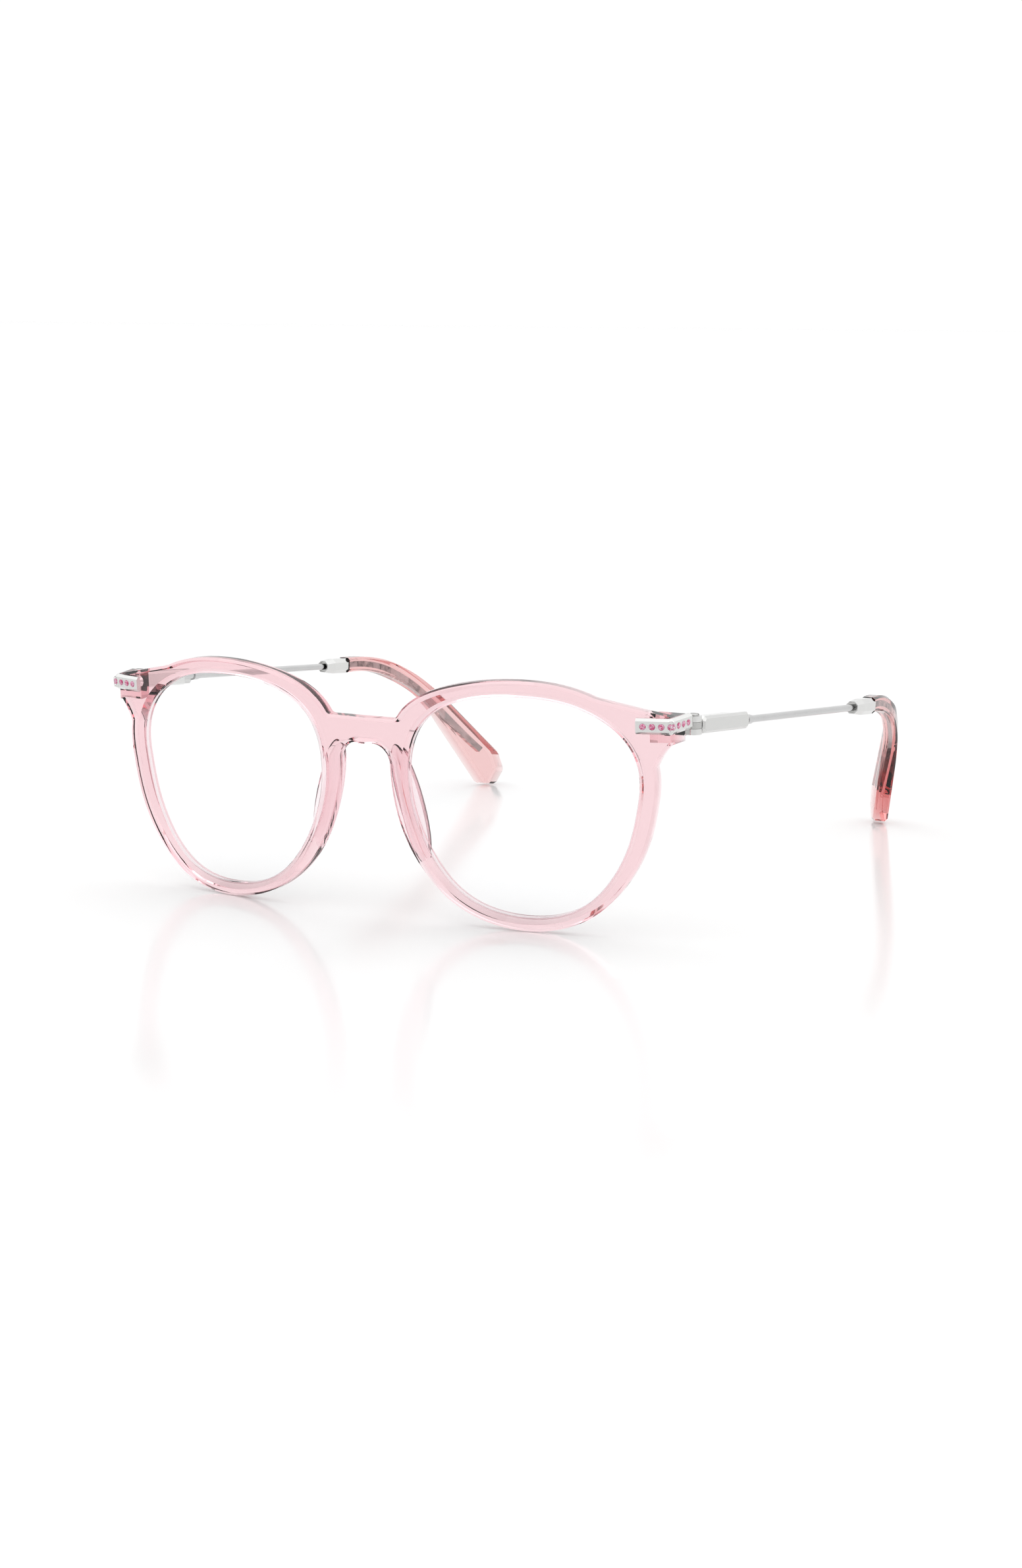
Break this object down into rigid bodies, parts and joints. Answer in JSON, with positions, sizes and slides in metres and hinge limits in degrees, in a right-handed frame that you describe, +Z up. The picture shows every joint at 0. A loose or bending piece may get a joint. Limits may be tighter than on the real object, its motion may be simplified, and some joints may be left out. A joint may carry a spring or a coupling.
{
  "type": "eyeglasses",
  "caption": "Full-rim spectacles with a transparent front, thin metal temples on sprung fold hinges, stone-set corner trims and flared tips.",
  "frame": {"origin": "middle of the outline from above, at the level it stands on, temples open", "axes": "+X to the wearer's left, +Y from the front to the temple tips, +Z up"},
  "size_m": [0.1406, 0.153, 0.0509],
  "materials": {
    "front_acetate": "polished transparent pale pink acetate",
    "pad_acetate": "polished transparent acetate",
    "tip_acetate": "polished transparent rose acetate",
    "lens": "clear coated lens",
    "polished_metal": "polished plated metal",
    "steel": "machined steel",
    "stone": "facetted pink crystal"
  },
  "bodies": {
    "front": {"corner_trim_left": "polished_metal", "corner_trim_right": "polished_metal", "front_frame": "front_acetate", "hinge_leaf_left": "polished_metal", "hinge_leaf_right": "polished_metal", "hinge_screw_left": "steel", "hinge_screw_right": "steel", "lens_left": "lens", "lens_right": "lens", "nose_pad_left": "pad_acetate", "nose_pad_right": "pad_acetate", "trim_peg_left": "polished_metal", "trim_peg_right": "polished_metal", "trim_stones_left": "stone", "trim_stones_right": "stone"},
    "slider_left": {"hinge_slider_left": "steel", "slider_spring_left": "steel", "slider_nut_left": "steel"},
    "temple_left": {"spring_housing_left": "polished_metal", "slider_bush_left": "steel", "temple_plaque_left": "polished_metal", "temple_rod_left": "polished_metal", "tip_ferrule_left": "polished_metal", "temple_tip_left": "tip_acetate"},
    "slider_right": {"hinge_slider_right": "steel", "slider_spring_right": "steel", "slider_nut_right": "steel"},
    "temple_right": {"spring_housing_right": "polished_metal", "slider_bush_right": "steel", "temple_plaque_right": "polished_metal", "temple_rod_right": "polished_metal", "tip_ferrule_right": "polished_metal", "temple_tip_right": "tip_acetate"}
  },
  "joints": [
    {"name": "fold_left", "type": "hinge", "parent": "front", "child": "slider_left", "pos_m": [0.06657, -0.05961, 0.04259], "axis": [0, 0, 1], "range_deg": [0, 86]},
    {"name": "flex_left", "type": "slide", "parent": "slider_left", "child": "temple_left", "axis": [0.014, 0.9963, -0.0845], "range_m": [0, 0.0012], "stiffness_N_per_m": 2500, "springref_m": -0.0006},
    {"name": "fold_right", "type": "hinge", "parent": "front", "child": "slider_right", "pos_m": [-0.06657, -0.05961, 0.04259], "axis": [0, 0, -1], "range_deg": [0, 82]},
    {"name": "flex_right", "type": "slide", "parent": "slider_right", "child": "temple_right", "axis": [-0.014, 0.9963, -0.0845], "range_m": [0, 0.0012], "stiffness_N_per_m": 2500, "springref_m": -0.0006}
  ]
}
